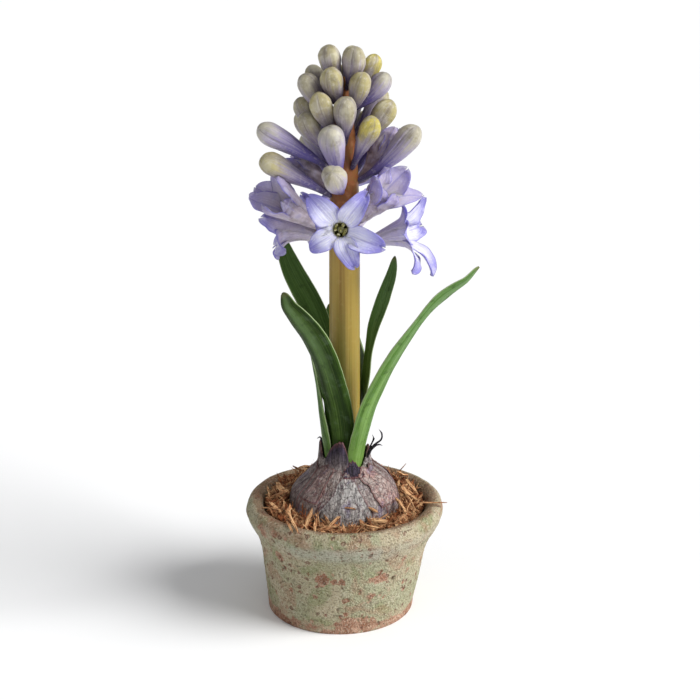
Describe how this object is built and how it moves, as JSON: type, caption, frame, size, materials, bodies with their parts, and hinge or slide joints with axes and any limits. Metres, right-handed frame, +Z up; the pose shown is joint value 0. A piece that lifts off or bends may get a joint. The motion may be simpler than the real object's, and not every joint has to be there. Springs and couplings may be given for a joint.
{
  "type": "potted hyacinth",
  "caption": "A bulb plant in flower in a round clay pot: the bulb half out of bark mulch, strap leaves, and one thick stalk with a dome of closed buds above a ring of open florets.",
  "frame": {"origin": "on the pot's flat base, below the middle of its lip", "axes": "+Z up along the scape, -Y towards the side that the picture shows, +X to its right"},
  "size_m": [0.1263, 0.1092, 0.314],
  "materials": {
    "clay": "limewashed, mossy, matt",
    "earth": "matt",
    "bark": "shredded, matt",
    "tunic": "papery",
    "stalk": "satin",
    "leaf_green": "satin",
    "bud_green": "waxy satin",
    "bud_lilac": "waxy satin",
    "petal_lilac": "waxy satin"
  },
  "bodies": {
    "root": {"pot": "clay", "soil": "earth", "bark_mulch": "bark", "bulb": "tunic", "scape": "stalk", "leaf_front_right": "leaf_green", "leaf_front_left": "leaf_green", "leaf_back_left": "leaf_green", "leaf_left": "leaf_green", "leaf_right": "leaf_green", "leaf_back_right": "leaf_green", "leaf_back": "leaf_green", "bud_01": "bud_green", "bud_02": "bud_green", "bud_03": "bud_green", "bud_04": "bud_green", "bud_05": "bud_green", "bud_06": "bud_green", "bud_07": "bud_green", "bud_08": "bud_green", "bud_09": "bud_green", "bud_10": "bud_green", "bud_11": "bud_green", "bud_12": "bud_green", "bud_13": "bud_green", "bud_14": "bud_green", "bud_15": "bud_green", "bud_16": "bud_green", "bud_17": "bud_green", "bud_18": "bud_green", "bud_19": "bud_green", "bud_20": "bud_green", "bud_21": "bud_green", "bud_22": "bud_green", "bud_23": "bud_green", "bud_24": "bud_green", "long_bud_1": "bud_lilac", "long_bud_2": "bud_lilac", "long_bud_3": "bud_lilac", "long_bud_4": "bud_lilac", "long_bud_5": "bud_lilac", "long_bud_6": "bud_lilac", "long_bud_7": "bud_lilac", "floret_01": "petal_lilac", "floret_02": "petal_lilac", "floret_03": "petal_lilac", "floret_04": "petal_lilac", "floret_05": "petal_lilac", "floret_06": "petal_lilac", "floret_07": "petal_lilac", "floret_08": "petal_lilac", "floret_09": "petal_lilac", "floret_10": "petal_lilac"}
  },
  "joints": []
}
